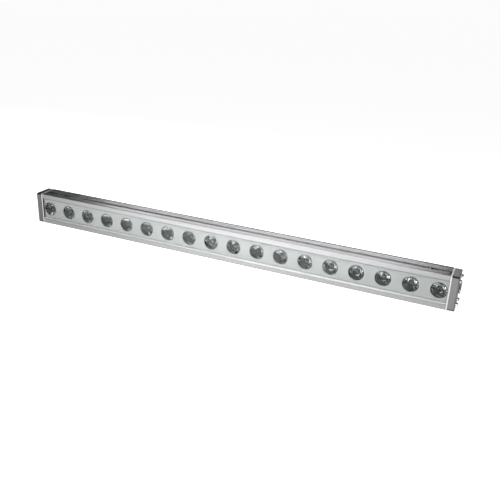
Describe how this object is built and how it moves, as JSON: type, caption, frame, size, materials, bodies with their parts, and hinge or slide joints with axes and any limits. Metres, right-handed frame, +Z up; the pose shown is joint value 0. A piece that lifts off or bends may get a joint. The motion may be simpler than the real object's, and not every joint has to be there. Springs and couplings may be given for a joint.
{
  "type": "led strip batten",
  "caption": "Straight LED wall-washer batten: an aluminium extrusion with a row of lenses behind flat glass, capped ends, and T-slots with sliding nuts along top and bottom.",
  "frame": {"origin": "on the surface that the lower side rests on, under the middle of the housing in length and depth", "axes": "+X along the batten to the right as seen from the lens side, +Y from the lens side to the back, +Z up"},
  "size_m": [1.0134, 0.045, 0.073],
  "materials": {
    "anodised_aluminium": "natural satin anodised, fine lengthways extrusion lines",
    "cap_paint": "mid grey satin powder coat",
    "panel_coating": "pale grey-green satin coating",
    "clear_glass": "clear polished safety glass",
    "lens_acrylic": "clear moulded optical acrylic",
    "pale_silicone": "matt pale grey silicone",
    "dark_rubber": "matt dark grey silicone",
    "stainless_steel": "plain stainless steel",
    "nickel_plate": "nickel plated, satin",
    "zinc_plate": "bright zinc plated",
    "white_solder_mask": "white solder mask on an aluminium core",
    "green_board": "green solder mask",
    "heat_pad": "soft matt heat-conducting pad",
    "black_plastic": "fine matt moulded plastic",
    "insulating_tray": "matt translucent sheet, folded",
    "wire_sheath": "matt flexible sheath"
  },
  "bodies": {
    "batten_body": {"blanking_plug": "nickel_plate", "board_jumper_1": "wire_sheath", "board_jumper_2": "wire_sheath", "cap_screw_left_lower_front": "stainless_steel", "cap_screw_left_lower_rear": "stainless_steel", "cap_screw_left_upper_front": "stainless_steel", "cap_screw_left_upper_rear": "stainless_steel", "cap_screw_right_lower_front": "stainless_steel", "cap_screw_right_lower_rear": "stainless_steel", "cap_screw_right_upper_front": "stainless_steel", "cap_screw_right_upper_rear": "stainless_steel", "cover_glass": "clear_glass", "data_inlet": "nickel_plate", "data_lock_nut": "nickel_plate", "driver_board": "green_board", "driver_tray": "insulating_tray", "end_cap_left": "cap_paint", "end_cap_right": "cap_paint", "end_gasket_left": "pale_silicone", "end_gasket_right": "pale_silicone", "glass_seal_lower": "dark_rubber", "glass_seal_upper": "dark_rubber", "heat_pad_1": "heat_pad", "heat_pad_2": "heat_pad", "heat_pad_3": "heat_pad", "housing_extrusion": "anodised_aluminium", "inlet_harness": "wire_sheath", "led_board_1": "white_solder_mask", "led_board_2": "white_solder_mask", "led_board_3": "white_solder_mask", "led_harness": "wire_sheath", "lens_01": "lens_acrylic", "lens_02": "lens_acrylic", "lens_03": "lens_acrylic", "lens_04": "lens_acrylic", "lens_05": "lens_acrylic", "lens_06": "lens_acrylic", "lens_07": "lens_acrylic", "lens_08": "lens_acrylic", "lens_09": "lens_acrylic", "lens_10": "lens_acrylic", "lens_11": "lens_acrylic", "lens_12": "lens_acrylic", "lens_13": "lens_acrylic", "lens_14": "lens_acrylic", "lens_15": "lens_acrylic", "lens_16": "lens_acrylic", "lens_17": "lens_acrylic", "lens_18": "lens_acrylic", "lens_carrier_1": "black_plastic", "lens_carrier_2": "black_plastic", "lens_carrier_3": "black_plastic", "lens_panel": "panel_coating", "plug_seal": "dark_rubber", "power_inlet": "nickel_plate", "power_lock_nut": "nickel_plate"},
    "nut_upper_left": {"slot_nut_upper_left": "zinc_plate"},
    "nut_upper_right": {"slot_nut_upper_right": "zinc_plate"},
    "nut_lower_left": {"slot_nut_lower_left": "zinc_plate"},
    "nut_lower_right": {"slot_nut_lower_right": "zinc_plate"}
  },
  "joints": [
    {"name": "nut_slide_upper_left", "type": "slide", "parent": "batten_body", "child": "nut_upper_left", "axis": [1, 0, 0], "range_m": [-0.033, 0.428]},
    {"name": "nut_slide_upper_right", "type": "slide", "parent": "batten_body", "child": "nut_upper_right", "axis": [1, 0, 0], "range_m": [-0.428, 0.033]},
    {"name": "nut_slide_lower_left", "type": "slide", "parent": "batten_body", "child": "nut_lower_left", "axis": [1, 0, 0], "range_m": [-0.033, 0.428]},
    {"name": "nut_slide_lower_right", "type": "slide", "parent": "batten_body", "child": "nut_lower_right", "axis": [1, 0, 0], "range_m": [-0.428, 0.033]}
  ]
}
